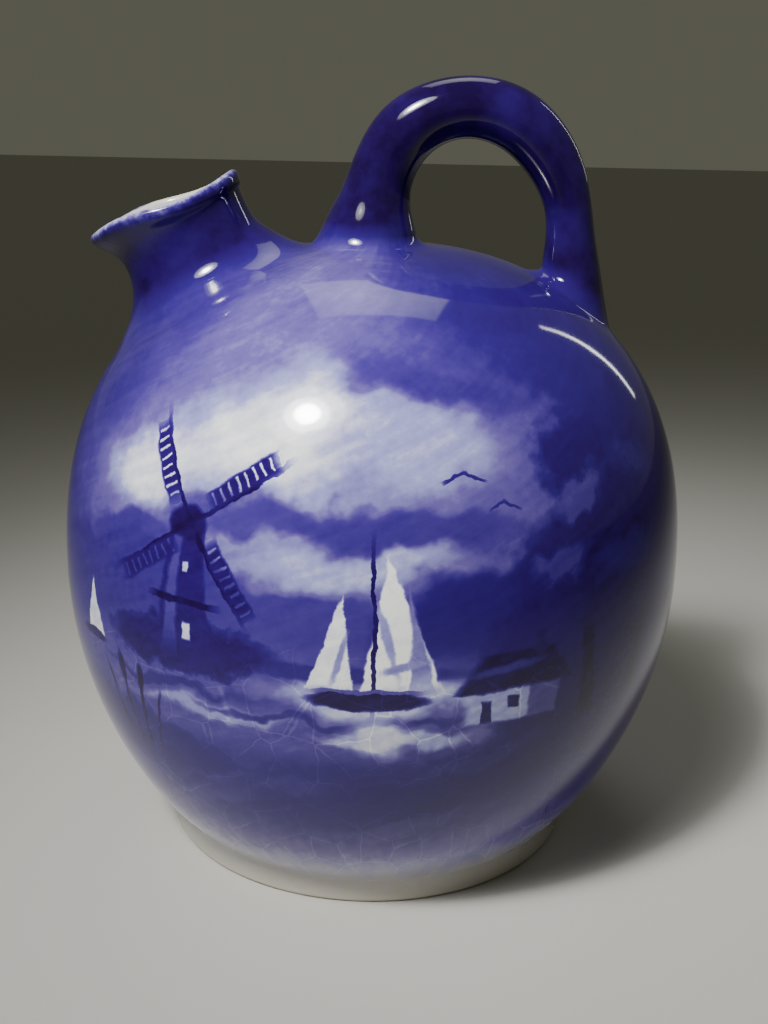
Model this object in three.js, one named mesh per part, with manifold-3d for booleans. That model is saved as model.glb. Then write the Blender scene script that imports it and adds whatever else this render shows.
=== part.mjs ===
// A round-bodied earthenware jug with a short tilted spout and a loop handle, fired as one hollow piece.
// Millimetres, +Z up, the spout towards -X. The origin is the middle of the foot, on the table.
import * as THREE from "three";
import { mergeVertices } from "three/addons/utils/BufferGeometryUtils.js";
import Module from "manifold-3d";

const wasm = await Module();
wasm.setup();

// The wall, and the body's outline: a foot, a swelling lower half and a full round crown.
const wall = 4.5;
const bodyRadius = 82;
const bellyHeight = 76.8;
const crownRise = 82.6;
const crownFullness = 2.35;
const lowerFullness = 1.93;
const footRadius = 55.5;
const footHeight = 6.4;
const footEdge = 1.2;
const footRingWidth = 6;
const footRecess = 3;
const floorThickness = 5;

// A fused piece flares into the body: its root's outer ring is sunk in the skin and the next ring is
// proud of it, each by this much, so the skins meet at a low slant.
const rootSlant = 0.7;

// The spout. Its root lies on the shoulder, and each section above gives its centre from the seat on
// the shoulder, its half sizes, its slope and how far its edge waves. A root shifts up the shoulder.
const spoutSeatAngle = 32;
const lipThickness = 2.8;
const boreRunOut = 6;
const spoutRoots = [
  { shift: 4, halfLength: 35, halfWidth: 30 },
  { shift: 2.5, halfLength: 28, halfWidth: 24 },
];
const spoutSections = [
  { out: -1.8, up: 1.4, halfLength: 22.1, halfWidth: 19.4, slope: 33, wave: 0 },
  { out: -0.1, up: 6.6, halfLength: 18.7, halfWidth: 16.9, slope: 33, wave: 0 },
  { out: 1.7, up: 11.8, halfLength: 17.7, halfWidth: 16.4, slope: 31, wave: 0.2 },
  { out: 4.3, up: 15.7, halfLength: 18.7, halfWidth: 17.2, slope: 28, wave: 0.6 },
  { out: 7, up: 18.6, halfLength: 20.7, halfWidth: 18.4, slope: 25.5, wave: 1.2 },
];

// The loop handle, from the middle of the crown over to the shoulder opposite the spout. A leg's
// points give a place from the leg's own foot and the grip's radius there.
const handleCrownFootX = -2.8;
const handleShoulderAngle = 34.5;
const crownRoots = [
  { halfLength: 17.5, halfWidth: 17 },
  { halfLength: 14.2, halfWidth: 13.8 },
];
const shoulderRoots = [
  { halfLength: 15.5, halfWidth: 13 },
  { halfLength: 12.5, halfWidth: 10.6 },
];
const crownLeg = [
  { x: 1.1, z: 5.4, radius: 11.4 },
  { x: 1.9, z: 11.4, radius: 9.1 },
  { x: 3.3, z: 17, radius: 8.2 },
  { x: 9.5, z: 27.9, radius: 8.1 },
  { x: 24.6, z: 34, radius: 7.6 },
];
const shoulderLeg = [
  { x: -15.4, z: 42.9, radius: 7.7 },
  { x: -10, z: 38.1, radius: 7.4 },
  { x: -3.4, z: 26.8, radius: 6.3 },
  { x: -1.3, z: 15.6, radius: 6.3 },
  { x: -0.8, z: 8.6, radius: 7.3 },
];

const glaze = new THREE.MeshStandardMaterial({
  color: 0x2f3a9c,
  roughness: 0.12,
  metalness: 0,
});

// A closed geometry as a solid. Triangles that shrink to a line at a pole are left out.
function solidOf(geometry) {
  geometry.deleteAttribute("normal");
  geometry.deleteAttribute("uv");
  const merged = mergeVertices(geometry, 1e-4);
  const index = merged.index.array;
  const kept = [];
  for (let i = 0; i < index.length; i += 3) {
    const [a, b, c] = [index[i], index[i + 1], index[i + 2]];
    if (a !== b && b !== c && c !== a) kept.push(a, b, c);
  }
  return new wasm.Manifold(
    new wasm.Mesh({
      numProp: 3,
      vertProperties: merged.attributes.position.array,
      triVerts: new Uint32Array(kept),
    }),
  );
}

function geometryOf(solid) {
  const { vertProperties, triVerts } = solid.getMesh();
  const geometry = new THREE.BufferGeometry();
  geometry.setAttribute("position", new THREE.BufferAttribute(vertProperties, 3));
  geometry.setIndex(new THREE.BufferAttribute(triVerts, 1));
  geometry.computeVertexNormals();
  return geometry;
}

// A point on the crown's outline, in the XZ plane. The angle is 0 at the top and 90 at the belly.
function crownPoint(degrees, inset = 0) {
  const angle = THREE.MathUtils.degToRad(degrees);
  const power = 2 / crownFullness;
  const across = (bodyRadius - inset) * Math.max(Math.sin(angle), 0) ** power;
  const rise = (crownRise - inset) * Math.max(Math.cos(angle), 0) ** power;
  return new THREE.Vector2(across, bellyHeight + rise);
}

// The height of the crown's outer surface over a point at distance x from the axis.
function crownHeightAt(x) {
  const share = (Math.abs(x) / bodyRadius) ** crownFullness;
  return bellyHeight + crownRise * (1 - share) ** (1 / crownFullness);
}

// The depth of the oval that the lower half follows, so that it meets the top of the foot.
const lowerDepth =
  (bellyHeight - footHeight) /
  (1 - (footRadius / bodyRadius) ** lowerFullness) ** (1 / lowerFullness);

function lowerRadiusAt(z, inset = 0) {
  const share = ((bellyHeight - z) / (lowerDepth - inset)) ** lowerFullness;
  return (bodyRadius - inset) * (1 - share) ** (1 / lowerFullness);
}

// The belly and crown from height z up to the axis, set in by a thickness.
function upperOutline(fromZ, inset, lowerSteps, crownSteps) {
  const points = [];
  for (let i = 0; i < lowerSteps; i++) {
    const z = fromZ + ((bellyHeight - fromZ) * i) / lowerSteps;
    points.push(new THREE.Vector2(lowerRadiusAt(z, inset), z));
  }
  for (let i = 0; i < crownSteps; i++) {
    points.push(crownPoint(90 - (90 * i) / crownSteps, inset));
  }
  points.push(new THREE.Vector2(0, bellyHeight + crownRise - inset));
  return points;
}

function turned(outline, sides) {
  const geometry = new THREE.LatheGeometry(outline, sides);
  return solidOf(geometry.rotateX(Math.PI / 2));
}

function bodyOutside() {
  const ringInside = footRadius - footRingWidth;
  const foot = [
    new THREE.Vector2(0, footRecess),
    new THREE.Vector2(ringInside - footRecess, footRecess),
    new THREE.Vector2(ringInside, 0),
    new THREE.Vector2(footRadius - footEdge, 0),
    new THREE.Vector2(footRadius, footEdge),
  ];
  return turned([...foot, ...upperOutline(footHeight, 0, 10, 13)], 56);
}

function bodyInside() {
  const floor = footRecess + floorThickness;
  const centre = new THREE.Vector2(0, floor);
  return turned([centre, ...upperOutline(floor, wall, 8, 10)], 48);
}

const belly = new THREE.Vector3(0, 0, bellyHeight);
const front = new THREE.Vector3(0, -1, 0);

// A point brought straight towards the belly's middle onto the crown, or a depth below it.
function ontoCrown(point, depth) {
  const ray = point.clone().sub(belly);
  const across = Math.hypot(ray.x, ray.y) / bodyRadius;
  const rise = ray.z / crownRise;
  const reach = (across ** crownFullness + rise ** crownFullness) ** (1 / crownFullness);
  const length = ray.length() / reach;
  return ray.setLength(length - depth).add(belly);
}

// A closed solid through rings. A ring gives a point for an angle, and smooth curves join the rings,
// each stretch of them in a number of rows of facets.
function loft(rings, rowsBetween, sides) {
  const rows = (rings.length - 1) * rowsBetween;
  const geometry = new THREE.CylinderGeometry(1, 1, 1, sides, rows);
  const position = geometry.attributes.position;
  const ends = [rings[0], rings[rings.length - 1]].map(middleOf);
  for (let i = 0; i < position.count; i++) {
    const x = position.getX(i);
    const z = position.getZ(i);
    const share = position.getY(i) + 0.5;
    const onRing = Math.hypot(x, z) > 0.5;
    const point = onRing ? acrossRings(rings, share, Math.atan2(z, x)) : ends[Math.round(share)];
    position.setXYZ(i, point.x, point.y, point.z);
  }
  return solidOf(geometry);
}

function acrossRings(rings, share, angle) {
  return new THREE.CatmullRomCurve3(rings.map((ring) => ring(angle))).getPoint(share);
}

function middleOf(ring) {
  return ring(0).add(ring(Math.PI)).divideScalar(2);
}

// An oval ring in the plane of across and front.
function oval(centre, across, halfAcross, halfFront) {
  return (angle) =>
    centre
      .clone()
      .addScaledVector(across, halfAcross * Math.cos(angle))
      .addScaledVector(front, halfFront * Math.sin(angle));
}

// A seat on the crown's outline, to the right or, with side -1, to the left of the axis.
function onShoulder(degrees, side) {
  const [above, point, below] = [-1, 0, 1].map((turn) => {
    const { x, y } = crownPoint(degrees + turn);
    return new THREE.Vector3(side * x, 0, y);
  });
  return { point, across: above.sub(below).normalize() };
}

// The two rings of a root, laid on the crown round a seat and set in by a thickness.
function rootRings({ point, across }, sizes, inset) {
  const depths = [inset + rootSlant, inset - rootSlant];
  return sizes.map(({ shift = 0, halfLength, halfWidth }, i) => {
    const centre = point.clone().addScaledVector(across, shift);
    const ring = oval(centre, across, halfLength - inset, halfWidth - inset);
    return (angle) => ontoCrown(ring(angle), depths[i]);
  });
}

const spoutSeat = onShoulder(spoutSeatAngle, -1);

// The spout's rings, set in from its outer skin by the thicknesses given for the wall and the lip.
function spoutRings(wallInset, lipInset) {
  const sections = spoutSections.map((section, i) => {
    const share = i / (spoutSections.length - 1);
    return spoutRing(section, THREE.MathUtils.lerp(wallInset, lipInset, share), 0);
  });
  return [...rootRings(spoutSeat, spoutRoots, wallInset), ...sections];
}

function spoutRing({ out, up, halfLength, halfWidth, slope, wave }, inset, lift) {
  const turn = THREE.MathUtils.degToRad(slope);
  const across = new THREE.Vector3(Math.cos(turn), 0, Math.sin(turn));
  const upwards = new THREE.Vector3(-Math.sin(turn), 0, Math.cos(turn));
  const centre = spoutSeat.point.clone().add(new THREE.Vector3(-out, 0, up));
  const ring = oval(centre, across, halfLength - inset, halfWidth - inset);
  return (angle) => {
    const waved = lift - wave * Math.sin(Math.PI * Math.cos(angle));
    return ring(angle).addScaledVector(upwards, waved);
  };
}

const mouth = spoutSections[spoutSections.length - 1];

// The half-round crest of the lip, from the outer skin up to its top or from the inner skin.
function crestRings(fromDegrees, toDegrees) {
  const steps = 3;
  return Array.from({ length: steps }, (_, i) => {
    const degrees = THREE.MathUtils.lerp(fromDegrees, toDegrees, i / (steps - 1));
    const turn = THREE.MathUtils.degToRad(degrees);
    const inset = (lipThickness / 2) * (1 - Math.cos(turn));
    return spoutRing(mouth, inset, (lipThickness / 2) * Math.sin(turn));
  });
}

function spoutOutside() {
  return loft([...spoutRings(0, 0), ...crestRings(30, 90)], 2, 40);
}

// The way through the spout. It follows the crest of the lip inside and runs out past it.
function spoutBore() {
  const beyond = spoutRing(mouth, lipThickness / 2, boreRunOut);
  return loft([...spoutRings(wall, lipThickness), ...crestRings(150, 92), beyond], 2, 36);
}

// The loop's rings: on the middle of the crown, round the grip, and on the shoulder.
function handle() {
  const crownFoot = {
    point: new THREE.Vector3(handleCrownFootX, 0, crownHeightAt(handleCrownFootX)),
    across: new THREE.Vector3(1, 0, 0),
  };
  const shoulderFoot = onShoulder(handleShoulderAngle, 1);
  const placesFrom = (foot, leg) =>
    leg.map(({ x, z, radius }) => ({
      centre: foot.point.clone().add(new THREE.Vector3(x, 0, z)),
      radius,
    }));
  const places = [...placesFrom(crownFoot, crownLeg), ...placesFrom(shoulderFoot, shoulderLeg)];
  const centres = places.map(({ centre }) => centre);
  const line = new THREE.CatmullRomCurve3([crownFoot.point, ...centres, shoulderFoot.point]);
  const grip = places.map(({ centre, radius }, i) => {
    const along = line.getTangent((i + 1) / (places.length + 1));
    return oval(centre, new THREE.Vector3(along.z, 0, -along.x), radius, radius);
  });
  const start = rootRings(crownFoot, crownRoots, 0);
  const end = rootRings(shoulderFoot, shoulderRoots, 0).reverse();
  return loft([...start, ...grip, ...end], 3, 20);
}

const clay = bodyOutside().add(spoutOutside()).add(handle());
const hollow = bodyInside().add(spoutBore());
const jug = new THREE.Mesh(geometryOf(clay.subtract(hollow)), glaze);
jug.name = "jug";

const group = new THREE.Group();
group.add(jug);

export default group;
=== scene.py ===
# A hollow earthenware jug, painted in cobalt under a clear glaze, on a pale floor.
from functools import partial
from math import cos, hypot, pi, radians, sin

import bmesh
import bpy
import numpy as np
from mathutils import Matrix, Vector
from mathutils.kdtree import KDTree


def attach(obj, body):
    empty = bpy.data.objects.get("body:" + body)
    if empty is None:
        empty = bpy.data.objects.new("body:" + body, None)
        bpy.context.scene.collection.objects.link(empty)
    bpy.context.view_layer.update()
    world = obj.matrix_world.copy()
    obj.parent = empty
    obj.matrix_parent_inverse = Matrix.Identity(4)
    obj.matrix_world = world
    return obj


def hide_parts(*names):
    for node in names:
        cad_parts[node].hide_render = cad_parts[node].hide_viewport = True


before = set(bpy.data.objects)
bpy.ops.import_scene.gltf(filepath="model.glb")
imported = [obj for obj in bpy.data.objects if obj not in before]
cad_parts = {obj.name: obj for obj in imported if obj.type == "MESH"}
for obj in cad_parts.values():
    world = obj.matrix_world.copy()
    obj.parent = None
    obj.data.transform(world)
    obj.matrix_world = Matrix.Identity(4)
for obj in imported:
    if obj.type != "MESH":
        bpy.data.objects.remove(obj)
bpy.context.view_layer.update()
mm = 0.001  # in metres, Blender's unit
samePoint = 0.001 * mm  # points closer together than this are one

# Shape of the body, in millimetres, as the part's source has it
bodyShape = {
    "wall": 4.5,
    "radius": 82,
    "bellyHeight": 76.8,
    "crownRise": 82.6,
    "crownFullness": 2.35,
    "lowerFullness": 1.93,
    "footRadius": 55.5,
    "footHeight": 6.4,
    "footEdge": 1.2,
    "footRingWidth": 6,
    "footRecess": 3,
    "floorThickness": 5,
    "footEdgeSteps": 6,
    "outside": (55, 75, 240),  # steps up the lower part, up the crown and round the axis
    "inside": (30, 40, 120),
}

# The outlines


def crownPoint(degrees, inset=0):
    # A point of the crown's outline: 0 degrees at the top, 90 at the belly
    body = bodyShape
    power = 2 / body["crownFullness"]
    across = (body["radius"] - inset) * max(sin(radians(degrees)), 0) ** power
    rise = (body["crownRise"] - inset) * max(cos(radians(degrees)), 0) ** power
    return across, body["bellyHeight"] + rise


def lowerRadiusAt(z, inset=0):
    body = bodyShape
    n = body["lowerFullness"]
    drawnIn = 1 - (body["footRadius"] / body["radius"]) ** n
    depth = (body["bellyHeight"] - body["footHeight"]) / drawnIn ** (1 / n)
    share = ((body["bellyHeight"] - z) / (depth - inset)) ** n
    return (body["radius"] - inset) * (1 - share) ** (1 / n)


def upperOutline(fromZ, inset, lowerSteps, crownSteps):
    body = bodyShape
    heights = [fromZ + (body["bellyHeight"] - fromZ) * i / lowerSteps for i in range(lowerSteps)]
    lower = [(lowerRadiusAt(z, inset), z) for z in heights]
    crown = [crownPoint(90 - 90 * i / crownSteps, inset) for i in range(crownSteps)]
    return lower + crown + [(0, body["bellyHeight"] + body["crownRise"] - inset)]


def footOutline():
    body = bodyShape
    ringInside = body["footRadius"] - body["footRingWidth"]
    edge = body["footEdge"]
    steps = body["footEdgeSteps"]
    turns = [radians(90 * i / steps) for i in range(steps + 1)]
    rounded = [(body["footRadius"] - edge * (1 - sin(t)), edge * (1 - cos(t))) for t in turns]
    recessed = [(0, body["footRecess"]), (ringInside - body["footRecess"], body["footRecess"])]
    return recessed + [(ringInside, 0)] + rounded


def crownReach(points):
    # Rays from the middle of the belly, their lengths, and the share of the way to the skin
    body = bodyShape
    middle = np.array([0, 0, body["bellyHeight"]])
    ray = points - middle
    n = body["crownFullness"]
    across = np.hypot(ray[:, 0], ray[:, 1]) / body["radius"]
    rise = np.maximum(ray[:, 2], 0) / body["crownRise"]
    nearMiddle = 1e-6  # never quite 0, as it divides
    share = np.maximum((across**n + rise**n) ** (1 / n), nearMiddle)
    return middle, ray, np.linalg.norm(ray, axis=1), share


def ontoCrown(points, depth):
    middle, ray, length, share = crownReach(points)
    return middle + ray * ((length / share - depth) / length)[:, None]


def crownDepths(points):
    # How deep points lie below the crown's skin, in millimetres; above it the depth is negative
    length, share = crownReach(points)[2:]
    return length / share - length


# The rings of the spout and the handle

# A root's outer ring is sunk in the body's skin and its inner ring is proud of it
rootSlant = 0.7


def oval(centre, across, halfAcross, halfFront, sides):
    angle = np.arange(sides) * 2 * pi / sides
    front = np.array([0, -1, 0])
    sideways = np.outer(np.cos(angle) * halfAcross, across)
    return np.array(centre) + sideways + np.outer(np.sin(angle) * halfFront, front)


def onShoulder(degrees, side):
    # A seat on the crown and the direction up the crown there
    outline = [crownPoint(degrees + turn) for turn in (-1, 0, 1)]
    above, seat, below = [np.array([side * x, 0, z]) for x, z in outline]
    upSlope = above - below
    return seat, upSlope / np.linalg.norm(upSlope)


def rootRings(seat, across, roots, inset, sides):
    rings = []
    for (shift, halfLength, halfWidth), slant in zip(roots, (rootSlant, -rootSlant)):
        ring = oval(seat + shift * across, across, halfLength - inset, halfWidth - inset, sides)
        rings.append(ontoCrown(ring, inset + slant))
    return rings


def smoothThrough(rings, between):
    # A natural cubic spline through each row of matching points
    rings = np.array(rings)
    gaps = np.linalg.norm(np.diff(rings, axis=0), axis=2).mean(axis=1)
    count = len(rings)
    matrix = np.eye(count)
    right = np.zeros_like(rings)
    for i in range(1, count - 1):
        matrix[i, i - 1 : i + 2] = gaps[i - 1], 2 * (gaps[i - 1] + gaps[i]), gaps[i]
        right[i] = 6 * ((rings[i + 1] - rings[i]) / gaps[i] - (rings[i] - rings[i - 1]) / gaps[i - 1])
    bend = np.linalg.solve(matrix, right.reshape(count, -1)).reshape(rings.shape)
    rows = []
    for i in range(count - 1):
        for b in np.arange(between) / between:
            a = 1 - b
            curve = ((a**3 - a) * bend[i] + (b**3 - b) * bend[i + 1]) * gaps[i] ** 2 / 6
            rows.append(a * rings[i] + b * rings[i + 1] + curve)
    return np.array(rows + [rings[-1]])


spoutShape = {
    "seatAngle": 32,
    "lipThickness": 2.8,
    "runOut": 6,  # how far the bore goes on past the lip
    "roots": [  # shift up the shoulder, half length, half width
        (4, 35, 30),
        (2.5, 28, 24),
    ],
    "sections": [  # out, up, half length, half width, slope, wave
        (-1.8, 1.4, 22.1, 19.4, 33, 0),
        (-0.1, 6.6, 18.7, 16.9, 33, 0),
        (1.7, 11.8, 17.7, 16.4, 31, 0.2),
        (4.3, 15.7, 18.7, 17.2, 28, 0.6),
        (7, 18.6, 20.7, 18.4, 25.5, 1.2),
    ],
    "sides": 128,
    "between": 8,
    "crestEvery": 3,  # of the rows over the crest of the lip, this one in so many is kept
    "outerCrest": (30, 60, 90),  # degrees round the crest, from the outer skin over to the bore
    "boreCrest": (150, 120, 92),
}


def spoutRing(section, inset, lift):
    spout = spoutShape
    out, up, halfLength, halfWidth, slope, wave = section
    turn = radians(slope)
    across = np.array([cos(turn), 0, sin(turn)])
    upwards = np.array([-sin(turn), 0, cos(turn)])
    centre = onShoulder(spout["seatAngle"], -1)[0] + np.array([-out, 0, up])
    ring = oval(centre, across, halfLength - inset, halfWidth - inset, spout["sides"])
    angle = np.arange(spout["sides"]) * 2 * pi / spout["sides"]
    return ring + np.outer(lift - wave * np.sin(pi * np.cos(angle)), upwards)


def spoutRings(wallInset, lipInset):
    spout = spoutShape
    seat, upSlope = onShoulder(spout["seatAngle"], -1)
    insets = np.linspace(wallInset, lipInset, len(spout["sections"]))
    roots = rootRings(seat, upSlope, spout["roots"], wallInset, spout["sides"])
    return roots + [spoutRing(section, inset, 0) for section, inset in zip(spout["sections"], insets)]


def crestRings(degrees):
    # The half-round crest of the lip: 0 degrees at the outer skin, 90 at its top
    half = spoutShape["lipThickness"] / 2
    mouth = spoutShape["sections"][-1]
    return [spoutRing(mouth, half * (1 - cos(t)), half * sin(t)) for t in map(radians, degrees)]


def lippedRows(rings, crest):
    # Rows up the wall and, closer together but fewer, over the crest
    spout = spoutShape
    rows = smoothThrough(rings + crest, spout["between"])
    lip = (len(rings) - 1) * spout["between"]
    return list(rows[:lip]) + list(rows[lip :: spout["crestEvery"]])


def spoutRows():
    return lippedRows(spoutRings(0, 0), crestRings(spoutShape["outerCrest"]))


def boreRows():
    spout = spoutShape
    beyond = spoutRing(spout["sections"][-1], spout["lipThickness"] / 2, spout["runOut"])
    rings = spoutRings(bodyShape["wall"], spout["lipThickness"])
    return lippedRows(rings, crestRings(spout["boreCrest"])) + [beyond]


handleShape = {
    "crownFootX": -2.8,
    "shoulderAngle": 34.5,
    "crownRoots": [(0, 17.5, 17), (0, 14.2, 13.8)],
    "shoulderRoots": [(0, 15.5, 13), (0, 12.5, 10.6)],
    "crownLeg": [  # out, up, radius
        (1.1, 5.4, 11.4),
        (1.9, 11.4, 9.1),
        (3.3, 17, 8.2),
        (9.5, 27.9, 8.1),
        (24.6, 34, 7.6),
    ],
    "shoulderLeg": [
        (-15.4, 42.9, 7.7),
        (-10, 38.1, 7.4),
        (-3.4, 26.8, 6.3),
        (-1.3, 15.6, 6.3),
        (-0.8, 8.6, 7.3),
    ],
    "sides": 80,
    "between": 10,
    "lineSteps": 20,  # between the rings, to find how the handle runs
}


def handleRows():
    handle = handleShape
    sides = handle["sides"]
    crownZ = bodyShape["bellyHeight"] + bodyShape["crownRise"]
    crownFoot = ontoCrown(np.array([[handle["crownFootX"], 0, crownZ]]), 0)[0]
    shoulderFoot, upSlope = onShoulder(handle["shoulderAngle"], 1)
    places = [(crownFoot + np.array([x, 0, z]), r) for x, z, r in handle["crownLeg"]]
    places += [(shoulderFoot + np.array([x, 0, z]), r) for x, z, r in handle["shoulderLeg"]]
    line = np.array([crownFoot] + [centre for centre, radius in places] + [shoulderFoot])
    fine = smoothThrough(line[:, None, :], handle["lineSteps"])[:, 0]
    along = np.gradient(fine, axis=0)[:: handle["lineSteps"]]
    rings = rootRings(crownFoot, np.array([1, 0, 0]), handle["crownRoots"], 0, sides)
    for (centre, radius), (dx, dy, dz) in zip(places, along[1:-1]):
        across = np.array([dz, 0, -dx]) / hypot(dx, dz)
        rings.append(oval(centre, across, radius, radius, sides))
    rings += rootRings(shoulderFoot, upSlope, handle["shoulderRoots"], 0, sides)[::-1]
    return smoothThrough(rings, handle["between"])


# Solids from the outlines and the rings


def finishSolid(bm, name):
    bmesh.ops.remove_doubles(bm, verts=bm.verts, dist=samePoint)
    bmesh.ops.recalc_face_normals(bm, faces=bm.faces)
    mesh = bpy.data.meshes.new(name)
    bm.to_mesh(mesh)
    bm.free()
    piece = bpy.data.objects.new(name, mesh)
    bpy.context.scene.collection.objects.link(piece)
    return piece


def spunSolid(outline, steps, name):
    bm = bmesh.new()
    verts = [bm.verts.new((r * mm, 0, z * mm)) for r, z in outline]
    edges = [bm.edges.new(pair) for pair in zip(verts, verts[1:])]
    bmesh.ops.spin(
        bm, geom=verts + edges, cent=(0, 0, 0), axis=(0, 0, 1), angle=2 * pi, steps=steps, use_merge=True
    )
    return finishSolid(bm, name)


def putOn(rim, row):
    for vert, place in zip(rim, row):
        vert.co = Vector(place) * mm


def ringSolid(rows, name):
    # A capped circle, drawn out row by row
    bm = bmesh.new()
    rim = bmesh.ops.create_circle(bm, cap_ends=True, segments=len(rows[0]), radius=mm)["verts"]
    putOn(rim, rows[0])
    edges = bm.edges[:]
    for row in rows[1:]:
        drawn = bmesh.ops.extrude_edge_only(bm, edges=edges)["geom"]
        fresh = {part for part in drawn if isinstance(part, bmesh.types.BMVert)}
        rim = [next(e.other_vert(v) for e in v.link_edges if e.other_vert(v) in fresh) for v in rim]
        edges = [part for part in drawn if isinstance(part, bmesh.types.BMEdge)]
        edges = [edge for edge in edges if fresh.issuperset(edge.verts)]
        putOn(rim, row)
    bmesh.ops.edgeloop_fill(bm, edges=edges)
    return finishSolid(bm, name)


def joined(piece, other, operation):
    # The piece with another solid added or cut away, as a plain mesh
    joiner = piece.modifiers.new(operation.lower(), "BOOLEAN")
    joiner.operation = operation
    joiner.solver = "MANIFOLD"
    joiner.object = other
    graph = bpy.context.evaluated_depsgraph_get()
    mesh = bpy.data.meshes.new_from_object(piece.evaluated_get(graph))
    piece.modifiers.clear()
    piece.data = mesh
    bpy.data.objects.remove(other)
    return piece


seamFinish = {
    "lowest": 110,  # the roots are all above this height
    "skin": 0.02,  # how near the crown a point of its skin lies
    "band": 4.5,  # how far round a seam the clay is smoothed
    "merge": 0.3,
    "passes": 14,
    "strength": 0.5,
}


def treeOf(points):
    # Finds the nearest of many points
    tree = KDTree(len(points))
    for i, point in enumerate(points):
        tree.insert(point, i)
    tree.balance()
    return tree


def near(bm, seam, distance):
    # The points of the mesh that lie close to a seam
    tree = treeOf([vert.co for vert in seam])
    return [vert for vert in bm.verts if tree.find(vert.co)[2] < distance * mm]


def smoothSeams(piece):
    # The clay is drawn smooth where the spout and the handle meet the crown
    bm = bmesh.new()
    bm.from_mesh(piece.data)
    places = np.array([vert.co for vert in bm.verts]) / mm
    depths = crownDepths(places)
    high = places[:, 2] > seamFinish["lowest"]
    onSkin = high & (abs(depths) < seamFinish["skin"])
    above = high & (depths < -seamFinish["skin"])
    seam = [
        vert
        for vert in bm.verts
        if onSkin[vert.index] and any(above[edge.other_vert(vert).index] for edge in vert.link_edges)
    ]
    band = near(bm, seam, seamFinish["band"])
    bmesh.ops.remove_doubles(bm, verts=band, dist=seamFinish["merge"] * mm)
    band = [vert for vert in band if vert.is_valid]
    alongAll = {"use_axis_x": True, "use_axis_y": True, "use_axis_z": True}
    for i in range(seamFinish["passes"]):
        bmesh.ops.smooth_vert(bm, verts=band, factor=seamFinish["strength"], **alongAll)
    bm.to_mesh(piece.data)
    bm.free()


def measured(piece):
    # Whether the mesh is closed, and how much clay it holds
    bm = bmesh.new()
    bm.from_mesh(piece.data)
    openEdges = sum(not edge.is_manifold for edge in bm.edges)
    volume = bm.calc_volume() / (10 * mm) ** 3
    bm.free()
    return f"{openEdges} open edges, {volume:.0f} cm3"


skinFit = 0.9996  # keeps the finer skin inside the box of the part's own solid


def makeJug():
    body = bodyShape
    floor = body["footRecess"] + body["floorThickness"]
    lowerSteps, crownSteps, roundSteps = body["outside"]
    outside = footOutline() + upperOutline(body["footHeight"], 0, lowerSteps, crownSteps)
    jug = spunSolid(outside, roundSteps, "jugGlazed")
    joined(jug, ringSolid(spoutRows(), "spout"), "UNION")
    joined(jug, ringSolid(handleRows(), "handle"), "UNION")
    smoothSeams(jug)
    lowerSteps, crownSteps, roundSteps = body["inside"]
    inside = [(0, floor)] + upperOutline(floor, body["wall"], lowerSteps, crownSteps)
    hollow = spunSolid(inside, roundSteps, "hollow")
    joined(hollow, ringSolid(boreRows(), "bore"), "UNION")
    joined(jug, hollow, "DIFFERENCE")
    jug.data.shade_smooth()
    jug.data.transform(Matrix.Scale(skinFit, 4))
    return jug


# How the glaze is painted. Tones run from 0, the darkest cobalt, to 1, the bare white ground.
# Sizes are in millimetres.

glazeLook = {
    "tones": [  # tone and colour
        (0.0, "#17013A"),
        (0.12, "#260B5E"),
        (0.3, "#2D1970"),
        (0.46, "#423182"),
        (0.62, "#63559A"),
        (0.8, "#9394CA"),
        (1.0, "#F4F5F2"),
    ],
    "innerColour": "#DAD6CC",
    "innerRange": (0.3, 0.7),
    "footColour": "#ABA79D",
    "bareColour": "#B9A98F",
    "arcRadius": 78,  # turns the angle round the axis into a length on the belly
    "roughness": 0.07,
    "bareRoughness": 0.75,
    "ior": 1.52,
    "rippleSize": 20,
    "rippleHeight": 0.05,
    "rippleNoise": {"Detail": 2},
    "wash": 0.32,
    "mottleSize": 19,
    "mottling": 0.36,
    "mottleNoise": {"Detail": 5, "Roughness": 0.6},
    "grainSize": 2.6,
    "grain": 0.14,
    "grainNoise": {"Detail": 4, "Roughness": 0.65},
    "strokeSize": (16, 2.6),  # along and across a brush stroke
    "strokeTurn": 24,
    "strokeNoise": {"Scale": 1, "Detail": 3},
    "strokes": 0.17,
    "drag": 0.5,  # how far the wet paint below drags a later stroke
    "viewMiddle": (0, 80),
    "viewHalf": (112, 68),
    "viewEdge": (0.72, 1.1),  # share of the way out where the view fades
    "handleTone": 0.03,
    "legTone": 0.05,
    "legRange": (4, 20),  # the handle's left leg lies left of this
    "spoutTone": 0.09,
    "spoutRange": (-22, -34),
    "raisedBy": 0.5,  # how far out of the crown the dark is full, as the mask has it
    "raisedMottling": 0.6,
    "lipTone": 0.86,
    "lipWear": (0.9, 0.6),  # how far patches and specks break up its edge
    "lipRange": (0.5, 0.95),
    "footTone": 0.84,
    "fringe": (48, 7),  # heights where the wash starts to fade and where the foot is pale
    "fringeSize": 3,
    "fringeNoise": {"Detail": 3},
    "fringeLength": 16,  # times that size
    "fringeRagged": 9,
    "footRange": (26, 6),
    "bareRange": (0.9, 0.3),  # the ring that it stands on is wiped clean of glaze
    "crackSize": 10,
    "crackWidth": 0.02,  # as a share of that size, wide enough to show
    "crackTop": (95, 60),
    "crackTone": 0.1,
}

# The brushes push the canvas about, so that edges wander: size, detail and roughness of the
# wander, and how far it goes
brushes = {
    "fine": (5, 4, 0.62, 2.4),
    "loose": (13, 3, 0.5, 15),
    "leafy": (5, 4, 0.5, 11),
}

# How far the sides of a straight-edged dab lean in towards its top
leans = {"block": 0.0, "comb": 0.0, "taper": 0.25, "peak": 1.0}

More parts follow.
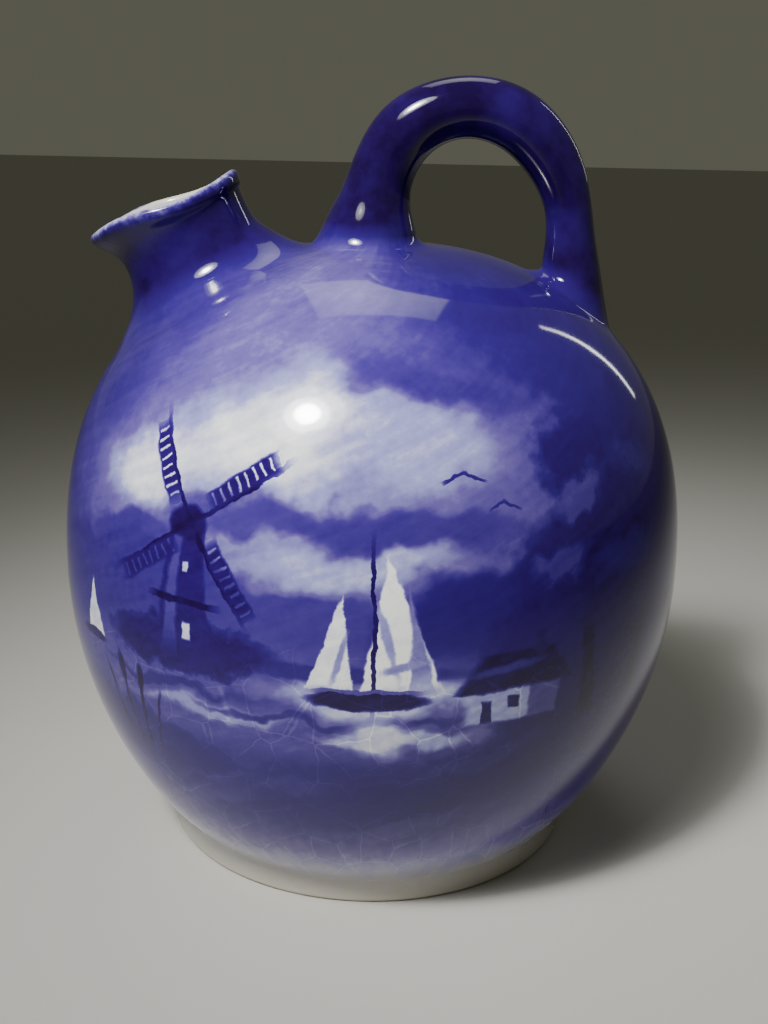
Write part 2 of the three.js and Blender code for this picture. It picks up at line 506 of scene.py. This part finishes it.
# The lattice of a sail: how close its bars are, and how they and the rails along its sides are cut
lattice = {"bars": 11, "barGap": 1.4, "rails": (-3.0, 3.4)}

# Each dab: shape, tone, place on the body as across from the middle of the front and up,
# half sizes, turn in degrees, softness of its edge, and the brush
washDabs = [
    ("oval", 0.62, (-30, 146), (62, 28), 0, 1.4, "loose"),
    ("oval", 0.26, (64, 148), (48, 22), 0, 1.4, "loose"),
    ("oval", 0.34, (-92, 100), (40, 54), 0, 1.2, "loose"),
    ("oval", 0.44, (-80, 44), (40, 24), 0, 1.2, "loose"),
    ("oval", 0.2, (96, 84), (40, 62), 0, 1.2, "loose"),
]

farDabs = [
    # sky and its clouds
    ("oval", 0.52, (-4, 116), (92, 42), 0, 1.0, "loose"),
    ("oval", 0.72, (-30, 120), (46, 26), 0, 1.2, "loose"),
    ("oval", 0.97, (-22, 126), (24, 12), 8, 0.9, "loose"),
    ("oval", 0.94, (-55, 116), (13, 8), 12, 0.9, "loose"),
    ("oval", 0.8, (10, 124), (20, 7), -6, 1.0, "loose"),
    ("oval", 0.46, (-26, 108), (25, 3.6), 4, 0.9, "loose"),
    ("oval", 0.38, (8, 107), (26, 4.4), -3, 0.9, "loose"),
    ("oval", 0.82, (-4, 99), (22, 3.6), 2, 0.9, "loose"),
    ("oval", 0.4, (-60, 101), (16, 3.2), 5, 0.9, "loose"),
    ("oval", 0.36, (16, 136), (26, 4), -10, 1.0, "loose"),
    # hills
    ("oval", 0.36, (-62, 87), (36, 12), 4, 0.3, "loose"),
    ("oval", 0.42, (-6, 85), (42, 8), -2, 0.3, "loose"),
    ("oval", 0.22, (30, 86), (28, 12), 5, 0.35, "loose"),
    # water
    ("oval", 0.48, (-12, 66), (72, 14), 0, 0.5, "fine"),
    ("oval", 0.86, (4, 69), (24, 4), 0, 0.9, "loose"),
    ("oval", 0.74, (-36, 61), (20, 2.4), 2, 0.9, "loose"),
    ("oval", 0.8, (8, 58), (16, 2), 0, 0.9, "loose"),
    ("oval", 0.28, (-16, 75), (40, 1.8), 0, 0.7, "fine"),
    ("oval", 0.3, (-6, 62.6), (28, 1.2), 1, 0.8, "loose"),
    ("oval", 0.28, (-46, 66), (20, 1.2), 0, 0.8, "loose"),
    # mill on its mound
    ("oval", 0.1, (-43, 76), (22, 6.5), 4, 0.35, "leafy"),
    ("taper", 0.12, (-42, 90), (7.2, 14), 0, 0.22, "fine"),
    ("taper", 0.46, (-45, 90), (1.8, 13), -4, 0.9, "fine"),
    ("block", 0.02, (-42, 87), (8.4, 0.8), 0, 0.5, "fine"),
    ("block", 0.9, (-41, 80), (1.1, 2), 0, 0.5, "fine"),
    ("block", 0.86, (-41.6, 95), (0.8, 1.2), 0, 0.5, "fine"),
    ("oval", 0.04, (-42, 105), (5, 3.8), 0, 0.3, "fine"),
    ("block", 0.02, (-41, 105), (23, 0.55), 34, 0.6, "fine"),
    ("block", 0.02, (-41, 105), (23, 0.55), 124, 0.6, "fine"),
    ("comb", 0.1, (-29.4, 115.2), (8.6, 2), 34, 0.5, "fine"),
    ("comb", 0.1, (-52.6, 94.8), (8.6, 2), 34, 0.5, "fine"),
    ("comb", 0.1, (-51.2, 116.6), (8.6, 2), 124, 0.5, "fine"),
    ("comb", 0.1, (-30.8, 93.4), (8.6, 2), 124, 0.5, "fine"),
]

middleDabs = [
    # boats
    ("peak", 1.0, (6, 87), (8.6, 15), 5, 0.2, "fine"),
    ("peak", 0.96, (-6.4, 82.4), (5, 11), -6, 0.22, "fine"),
    ("peak", 0.66, (10.4, 84), (2.4, 11), 8, 0.8, "fine"),
    ("oval", 0.74, (4, 84), (1, 9), 16, 0.9, "fine"),
    ("oval", 0.7, (-5.6, 79), (0.8, 6), -14, 0.9, "fine"),
    ("oval", 0.72, (8, 77), (5, 1), 14, 0.9, "fine"),
    ("block", 0.06, (1.6, 86), (0.45, 18), 1, 0.5, "fine"),
    ("oval", 0.02, (0.5, 69), (13, 2.6), 0, 0.3, "fine"),
    ("block", 0.5, (0.5, 71.2), (11.4, 0.45), 0, 0.5, "fine"),
    ("oval", 0.9, (3, 60), (6, 5), 0, 1.0, "loose"),
    ("peak", 0.92, (-74, 77), (4.4, 7.4), 3, 0.25, "fine"),
    ("oval", 0.06, (-75, 69.4), (6, 1.3), 0, 0.4, "fine"),
    # trees on the right
    ("oval", 0.13, (66, 64), (36, 34), 0, 0.35, "leafy"),
    ("oval", 0.12, (50, 92), (18, 17), 15, 0.4, "leafy"),
    ("oval", 0.1, (74, 102), (28, 25), 0, 0.4, "leafy"),
    ("oval", 0.13, (58, 118), (17, 11), -12, 0.4, "leafy"),
    ("oval", 0.16, (94, 84), (24, 36), 0, 0.5, "leafy"),
    ("oval", 0.14, (37, 80), (11, 8), 0, 0.4, "leafy"),
    ("oval", 0.2, (66, 133), (24, 7), -16, 0.6, "leafy"),
    ("oval", 0.46, (52, 112), (9, 3.6), 24, 1.0, "leafy"),
    ("oval", 0.36, (74, 116), (10, 4), -18, 1.0, "leafy"),
    ("oval", 0.4, (44, 97), (7, 3), 12, 1.0, "leafy"),
    ("oval", 0.3, (68, 96), (11, 4), 8, 1.0, "leafy"),
    ("oval", 0.26, (86, 84), (8, 4), -20, 1.0, "leafy"),
]

nearDabs = [
    # tree trunks and the cottage
    ("taper", 0.0, (54, 62), (2.8, 19), 5, 0.6, "fine"),
    ("taper", 0.0, (71, 60), (2.2, 18), -5, 0.6, "fine"),
    ("block", 0.8, (30, 66), (8, 4.6), 0, 0.3, "fine"),
    ("block", 0.5, (41, 66), (4, 4.6), 0, 0.3, "fine"),
    ("taper", 0.02, (34, 74.4), (14, 4.6), 0, 0.25, "fine"),
    ("oval", 0.34, (31, 75), (8, 1), 8, 1.0, "fine"),
    ("block", 0.08, (39, 80), (1.4, 3.4), 0, 0.4, "fine"),
    ("block", 0.06, (27, 64.6), (1.2, 3), 0, 0.4, "fine"),
    ("block", 0.06, (33, 66.6), (1.3, 1.5), 0, 0.4, "fine"),
    # banks and reeds
    ("oval", 0.16, (44, 38), (62, 18), 9, 0.35, "leafy"),
    ("oval", 0.18, (-6, 34), (54, 14), 7, 0.5, "loose"),
    ("oval", 0.22, (-58, 47), (30, 9), -10, 0.5, "leafy"),
    ("oval", 0.3, (22, 50), (20, 2.2), 14, 1.0, "loose"),
    ("oval", 0.27, (58, 42), (18, 2.4), 10, 1.0, "loose"),
    ("oval", 0.34, (-26, 43), (22, 2.2), 12, 1.0, "loose"),
    ("oval", 0.34, (-44, 33), (24, 2.6), 20, 1.0, "loose"),
    ("oval", 0.3, (10, 31), (26, 2.2), 12, 1.0, "loose"),
    ("block", 0.04, (-62, 56), (0.5, 12), 6, 0.6, "fine"),
    ("block", 0.04, (-57, 55), (0.5, 11), -5, 0.6, "fine"),
    ("block", 0.04, (-67, 54), (0.5, 10), 12, 0.6, "fine"),
    ("block", 0.06, (-52, 53), (0.4, 9), -14, 0.6, "fine"),
    ("oval", 0.02, (-62.8, 65), (1.1, 3.8), 6, 0.5, "fine"),
    ("oval", 0.02, (-56.2, 64), (1, 3.4), -5, 0.5, "fine"),
    # birds
    ("block", 0.2, (19.8, 118.6), (2.6, 0.35), 24, 0.8, "fine"),
    ("block", 0.2, (24.4, 118.6), (2.6, 0.35), -24, 0.8, "fine"),
    ("block", 0.24, (29.4, 112), (2, 0.3), 28, 0.8, "fine"),
    ("block", 0.24, (32.8, 112), (2, 0.3), -28, 0.8, "fine"),
]


def linear(hexColour):
    # An sRGB hex colour as the linear values that shaders use
    parts = [int(hexColour[i : i + 2], 16) / 255 for i in (1, 3, 5)]
    return [c / 12.92 if c <= 0.04045 else ((c + 0.055) / 1.055) ** 2.4 for c in parts] + [1]


def addNode(tree, kind, settings, inputs):
    # Adds a node with its settings, and its inputs as numbers or as links, and gives its outputs
    node = tree.nodes.new("ShaderNode" + kind)
    for key, value in settings.items():
        setattr(node, key, value)
    for key, value in inputs.items():
        if isinstance(value, bpy.types.NodeSocket):
            tree.links.new(value, node.inputs[key])
        else:
            node.inputs[key].default_value = value
    return node.outputs


# How far out of the crown, and how far from the lip's crest, the masks of the glaze run
maskReach = {"above": 14, "lip": 6}


def setMasks(piece):
    # Kept on the mesh: how far a point is above the crown's skin, how near the lip, and if it is inside
    body = bodyShape
    mesh = piece.data
    places = np.zeros(len(mesh.vertices) * 3)
    mesh.vertices.foreach_get("co", places)
    places = places.reshape(-1, 3) / mm
    high = places[:, 2] > body["bellyHeight"]
    depths = crownDepths(places)
    low = ~high & (places[:, 2] > body["footHeight"])
    lowRadius = np.array([lowerRadiusAt(z) if isLow else 0 for z, isLow in zip(places[:, 2], low)])
    depths = np.where(low, lowRadius - np.hypot(places[:, 0], places[:, 1]), depths)
    outer = treeOf(np.concatenate(spoutRows()))
    bore = treeOf(np.concatenate(boreRows()))
    crest = treeOf(crestRings([90])[0])
    above = np.clip(-depths / maskReach["above"], 0, 1) * high
    lip = np.zeros(len(places))
    inner = ((high | low) & (depths > body["wall"] / 2)).astype(float)
    for i in np.nonzero(high & (places[:, 0] < 0) & (places[:, 2] > seamFinish["lowest"]))[0]:
        lip[i] = max(0, 1 - crest.find(places[i])[2] / maskReach["lip"])
        if bore.find(places[i])[2] < outer.find(places[i])[2]:
            inner[i] = 1
    for name, values in (("above", above), ("lip", lip), ("inner", inner)):
        mesh.attributes.new(name, "FLOAT", "POINT").data.foreach_set("value", values)


def layDabs(add, field, dabs, canvas):
    # Brush strokes over a field of tones, one after another
    for shape, tone, at, size, degrees, soft, brush in dabs:
        place = {"Location": (*at, 0), "Rotation": (0, 0, radians(degrees)), "Scale": (*size, 1)}
        spot = add("Mapping", {"vector_type": "TEXTURE"}, {"Vector": canvas[brush], **place})[0]
        if shape == "oval":
            edge = add("VectorMath", {"operation": "LENGTH"}, {0: spot})["Value"]
        else:
            lean = leans[shape]
            slope = (1 + lean, 0, 0)
            folded = add("VectorMath", {"operation": "ABSOLUTE"}, {0: spot})[0]
            rise = add("VectorMath", {"operation": "DOT_PRODUCT"}, {0: spot, 1: (0, lean, 0)})["Value"]
            reach = add("VectorMath", {"operation": "DOT_PRODUCT"}, {0: folded, 1: slope})["Value"]
            sides = add("Math", {"operation": "ADD"}, {0: reach, 1: rise})[0]
            ends = add("VectorMath", {"operation": "DOT_PRODUCT"}, {0: folded, 1: (0, 1, 0)})["Value"]
            edge = add("Math", {"operation": "MAXIMUM"}, {0: sides, 1: ends})[0]
        if shape == "comb":
            barsAcross = (lattice["bars"], 0, 0)
            along = add("VectorMath", {"operation": "DOT_PRODUCT"}, {0: spot, 1: barsAcross})["Value"]
            bars = add("Math", {"operation": "PINGPONG"}, {0: along, 1: lattice["barGap"]})[0]
            narrowing, start = lattice["rails"]
            rails = add("Math", {"operation": "MULTIPLY_ADD"}, {0: ends, 1: narrowing, 2: start})[0]
            gaps = add("Math", {"operation": "MINIMUM"}, {0: bars, 1: rails})[0]
            edge = add("Math", {"operation": "MAXIMUM"}, {0: edge, 1: gaps})[0]
        limits = {"Value": edge, "From Min": 1 + soft / 2, "From Max": 1 - soft / 2}
        cover = add("MapRange", {"interpolation_type": "SMOOTHSTEP"}, limits)[0]
        field = add("Mix", {"data_type": "FLOAT"}, {"Factor": cover, "A": field, "B": tone})[0]
    return field


def makeGlaze():
    # Earthenware painted in cobalt under a clear high-gloss glaze: soft-edged violet blues on a
    # white ground, under a hard clear surface that mirrors the lights
    look = glazeLook
    paint = bpy.data.materials.new("cobalt painted earthenware, clear gloss glaze")
    paint.use_nodes = True
    tree = paint.node_tree
    add = partial(addNode, tree)
    smooth = {"interpolation_type": "SMOOTHSTEP"}
    asNumber = {"data_type": "FLOAT"}
    asColour = {"data_type": "RGBA"}
    scaledAndMoved = {"operation": "MULTIPLY_ADD"}

    # Places in millimetres, and the body's side rolled out flat
    metres = add("TexCoord", {}, {})["Object"]
    place = add("VectorMath", {"operation": "SCALE"}, {0: metres, "Scale": 1 / mm})[0]
    parts = add("SeparateXYZ", {}, {0: place})
    ahead = add("Math", {"operation": "MULTIPLY"}, {0: parts["Y"], 1: -1.0})[0]
    turn = add("Math", {"operation": "ARCTAN2"}, {0: parts["X"], 1: ahead})[0]
    across = add("Math", {"operation": "MULTIPLY"}, {0: turn, 1: look["arcRadius"]})[0]
    flat = add("CombineXYZ", {}, {"X": across, "Y": parts["Z"]})[0]
    canvas = {}
    for name, (size, detail, rough, push) in brushes.items():
        grown = {"Vector": place, "Scale": 1 / size, "Detail": detail, "Roughness": rough}
        wander = add("TexNoise", {}, grown)["Color"]
        centred = add("VectorMath", {"operation": "SUBTRACT"}, {0: wander, 1: (0.5, 0.5, 0.5)})[0]
        canvas[name] = add("VectorMath", scaledAndMoved, {0: centred, 1: (push, push, 0), 2: flat})[0]

    # Patchy wash, grain and streaks of the brush, each as a difference in tone
    slant = {"Rotation": (0, 0, radians(look["strokeTurn"])), "Scale": (*look["strokeSize"], 1)}
    slanted = add("Mapping", {"vector_type": "TEXTURE"}, {"Vector": flat, **slant})[0]
    uneven, grain, strokes = [
        add("Math", {"operation": "SUBTRACT"}, {0: add("TexNoise", {}, inputs)[0], 1: 0.5})[0]
        for inputs in (
            {"Vector": place, "Scale": 1 / look["mottleSize"], **look["mottleNoise"]},
            {"Vector": place, "Scale": 1 / look["grainSize"], **look["grainNoise"]},
            {"Vector": slanted, **look["strokeNoise"]},
        )
    ]
    wash = layDabs(add, look["wash"], washDabs, canvas)
    wash = add("Math", scaledAndMoved, {0: uneven, 1: look["mottling"], 2: wash})[0]

    # The view is laid on in three coats, and the wet paint below drags the later ones a little
    view = layDabs(add, wash, farDabs, canvas)
    drag = (look["drag"], look["drag"], 0)
    for coat in (middleDabs, nearDabs):
        canvas = {
            name: add("VectorMath", scaledAndMoved, {0: view, 1: drag, 2: surface})[0]
            for name, surface in canvas.items()
        }
        view = layDabs(add, view, coat, canvas)

    # It fades into the wash towards the sides, the crown and the foot
    middle = {"Location": (*look["viewMiddle"], 0), "Scale": (*look["viewHalf"], 1)}
    outward = add("Mapping", {"vector_type": "TEXTURE"}, {"Vector": canvas["loose"], **middle})[0]
    far = add("VectorMath", {"operation": "LENGTH"}, {0: outward})["Value"]
    start, end = look["viewEdge"]
    faded = add("MapRange", smooth, {"Value": far, "From Min": start, "From Max": end})[0]
    field = add("Mix", asNumber, {"Factor": faded, "A": view, "B": wash})[0]
    field = add("Math", scaledAndMoved, {0: strokes, 1: look["strokes"], 2: field})[0]
    field = add("Math", scaledAndMoved, {0: grain, 1: look["grain"], 2: field})[0]

    # Fringe of upright brush strokes above the pale foot
    drawnOut = (1, 1, 1 / look["fringeLength"])
    upright = add("VectorMath", {"operation": "MULTIPLY"}, {0: place, 1: drawnOut})[0]
    brushed = {"Vector": upright, "Scale": 1 / look["fringeSize"], **look["fringeNoise"]}
    streak = add("TexNoise", {}, brushed)[0]
    height = add("Math", scaledAndMoved, {0: streak, 1: look["fringeRagged"], 2: parts["Z"]})[0]
    start, end = look["fringe"]
    foot = add("MapRange", smooth, {"Value": height, "From Min": start, "From Max": end})[0]
    field = add("Mix", asNumber, {"Factor": foot, "A": field, "B": look["footTone"]})[0]

    # The handle and the spout are dark, and the lip is worn pale
    masks = [add("Attribute", {"attribute_name": name}, {})["Fac"] for name in ("above", "lip", "inner")]
    above, lip, inner = masks
    start, end = look["legRange"]
    leg = add("MapRange", smooth, {"Value": parts["X"], "From Min": start, "From Max": end})[0]
    dark = add("Mix", asNumber, {"Factor": leg, "A": look["legTone"], "B": look["handleTone"]})[0]
    start, end = look["spoutRange"]
    spout = add("MapRange", smooth, {"Value": parts["X"], "From Min": start, "From Max": end})[0]
    dark = add("Mix", asNumber, {"Factor": spout, "A": dark, "B": look["spoutTone"]})[0]
    dark = add("Math", scaledAndMoved, {0: uneven, 1: look["raisedMottling"], 2: dark})[0]
    raised = add("MapRange", smooth, {"Value": above, "From Min": 0.0, "From Max": look["raisedBy"]})[0]
    field = add("Mix", asNumber, {"Factor": raised, "A": field, "B": dark})[0]
    patches, specks = look["lipWear"]
    worn = add("Math", scaledAndMoved, {0: uneven, 1: patches, 2: lip})[0]
    worn = add("Math", scaledAndMoved, {0: grain, 1: specks, 2: worn})[0]
    start, end = look["lipRange"]
    rim = add("MapRange", smooth, {"Value": worn, "From Min": start, "From Max": end})[0]
    field = add("Mix", asNumber, {"Factor": rim, "A": field, "B": look["lipTone"]})[0]

    # Fine pale crazing low on the body
    cells = {"feature": "DISTANCE_TO_EDGE"}
    crack = add("TexVoronoi", cells, {"Vector": canvas["fine"], "Scale": 1 / look["crackSize"]})["Distance"]
    line = add("MapRange", smooth, {"Value": crack, "From Min": look["crackWidth"], "From Max": 0.0})[0]
    top, full = look["crackTop"]
    lowness = add("MapRange", smooth, {"Value": parts["Z"], "From Min": top, "From Max": full})[0]
    line = add("Math", {"operation": "MULTIPLY"}, {0: line, 1: lowness})[0]
    field = add("Math", scaledAndMoved, {0: line, 1: look["crackTone"], 2: field})[0]

    # From tones to colours, with the foot, the inside and the wiped ring in their own
    tones = add("ValToRGB", {}, {"Fac": field})
    stops = tones["Color"].node.color_ramp.elements
    while len(stops) < len(look["tones"]):
        stops.new(0.5)
    for stop, (tone, hexColour) in zip(stops, look["tones"]):
        stop.position = tone
        stop.color = linear(hexColour)
    colour = tones["Color"]
    start, end = look["footRange"]
    ring = add("MapRange", smooth, {"Value": height, "From Min": start, "From Max": end})[0]
    start, end = look["innerRange"]
    inside = add("MapRange", smooth, {"Value": inner, "From Min": start, "From Max": end})[0]
    start, end = look["bareRange"]
    bare = add("MapRange", smooth, {"Value": parts["Z"], "From Min": start, "From Max": end})[0]
    for cover, name in ((ring, "footColour"), (inside, "innerColour"), (bare, "bareColour")):
        colour = add("Mix", asColour, {"Factor": cover, 6: colour, 7: linear(look[name])})[2]

    # The wiped ring is dull, and the glaze ripples faintly
    dull = {"Value": bare, "To Min": look["roughness"], "To Max": look["bareRoughness"]}
    roughness = add("MapRange", {}, dull)[0]
    waves = {"Vector": place, "Scale": 1 / look["rippleSize"], **look["rippleNoise"]}
    ripple = add("TexNoise", {}, waves)[0]
    bump = add("Bump", {}, {"Height": ripple, "Distance": look["rippleHeight"] * mm})[0]
    shader = tree.nodes["Principled BSDF"]
    tree.links.new(colour, shader.inputs["Base Color"])
    tree.links.new(roughness, shader.inputs["Roughness"])
    tree.links.new(bump, shader.inputs["Normal"])
    shader.inputs["IOR"].default_value = look["ior"]
    return paint


jug = makeJug()
print("jug: joined and hollowed,", measured(jug))
setMasks(jug)
jug.data.materials.clear()
jug.data.materials.append(makeGlaze())
print("glaze: painted and fired")

# Its place in the frame
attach(jug, "root")
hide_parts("jug")


# The stage

stageLook = {
    "floorSide": 6,  # metres
    "floorColour": "#B1B0AA",
    "floorRoughness": 0.8,
    "worldColour": "#A9A896",
    "worldStrength": 0.26,
}


def makeFloor():
    # Board under matt emulsion paint: one even pale grey with no gloss
    bm = bmesh.new()
    bmesh.ops.create_grid(bm, x_segments=1, y_segments=1, size=stageLook["floorSide"] / 2)
    floor = finishSolid(bm, "floor")
    paint = bpy.data.materials.new("matt painted board")
    paint.use_nodes = True
    shader = paint.node_tree.nodes["Principled BSDF"]
    shader.inputs["Base Color"].default_value = linear(stageLook["floorColour"])
    shader.inputs["Roughness"].default_value = stageLook["floorRoughness"]
    floor.data.materials.append(paint)
    return floor


floor = makeFloor()
print("floor: laid")

world = bpy.data.worlds.new("soft studio")
bpy.context.scene.world = world
world.use_nodes = True
background = world.node_tree.nodes["Background"]
background.inputs["Color"].default_value = linear(stageLook["worldColour"])
background.inputs["Strength"].default_value = stageLook["worldStrength"]


# Soft studio lights: shape, place, aim, width, height, watts, and the degrees that a beam spreads
studioLights = {
    "key": ("DISK", (-0.34, -0.49, 0.85), (-0.014, -0.066, 0.13), 0.14, 0.14, 0.28, 30),
    "key ring": ("DISK", (-0.355, -0.51, 0.875), (-0.014, -0.066, 0.13), 0.26, 0.26, 0.22, 35),
    "key halo": ("DISK", (-0.37, -0.53, 0.9), (-0.014, -0.066, 0.13), 0.45, 0.45, 0.36, 40),
    "back": ("RECTANGLE", (0.0, 0.5, 1.0), (0, 0, 0.15), 0.5, 0.45, 0.17, 60),
    "right": ("RECTANGLE", (0.8, 0.8, 0.6), (0, 0, 0.1), 0.03, 0.7, 0.08, 60),
}


def makeLight(name, shape, place, aim, width, height, watts, spread):
    lamp = bpy.data.lights.new(name, "AREA")
    lamp.shape = shape
    lamp.size = width
    lamp.spread = radians(spread)
    if shape == "RECTANGLE":
        lamp.size_y = height
    lamp.energy = watts
    light = bpy.data.objects.new(name, lamp)
    light.location = place
    light.rotation_euler = (Vector(aim) - Vector(place)).to_track_quat("-Z", "Y").to_euler()
    bpy.context.scene.collection.objects.link(light)


for name, facts in studioLights.items():
    makeLight(name, *facts)
print("lights:", ", ".join(studioLights))


# The camera stands where the photo was taken from, fitted to the jug's outline in it
photoCamera = {
    "place": (0.003011, -0.358355, 0.200748),
    "right": (0.999764, 0.006586, 0.020693),
    "up": (-0.021715, 0.303230, 0.952670),
    "lens": 48.36,
    "sensor": 36,
    "nearest": 0.01,
}


def makeCamera():
    view = photoCamera
    lens = bpy.data.cameras.new("camera")
    lens.lens = view["lens"]
    lens.sensor_width = view["sensor"]
    lens.clip_start = view["nearest"]
    camera = bpy.data.objects.new("camera", lens)
    right = Vector(view["right"])
    up = Vector(view["up"])
    turn = Matrix((right, up, right.cross(up))).transposed()
    camera.matrix_world = Matrix.Translation(view["place"]) @ turn.to_4x4()
    bpy.context.scene.collection.objects.link(camera)
    bpy.context.scene.camera = camera


makeCamera()
print("camera: set")
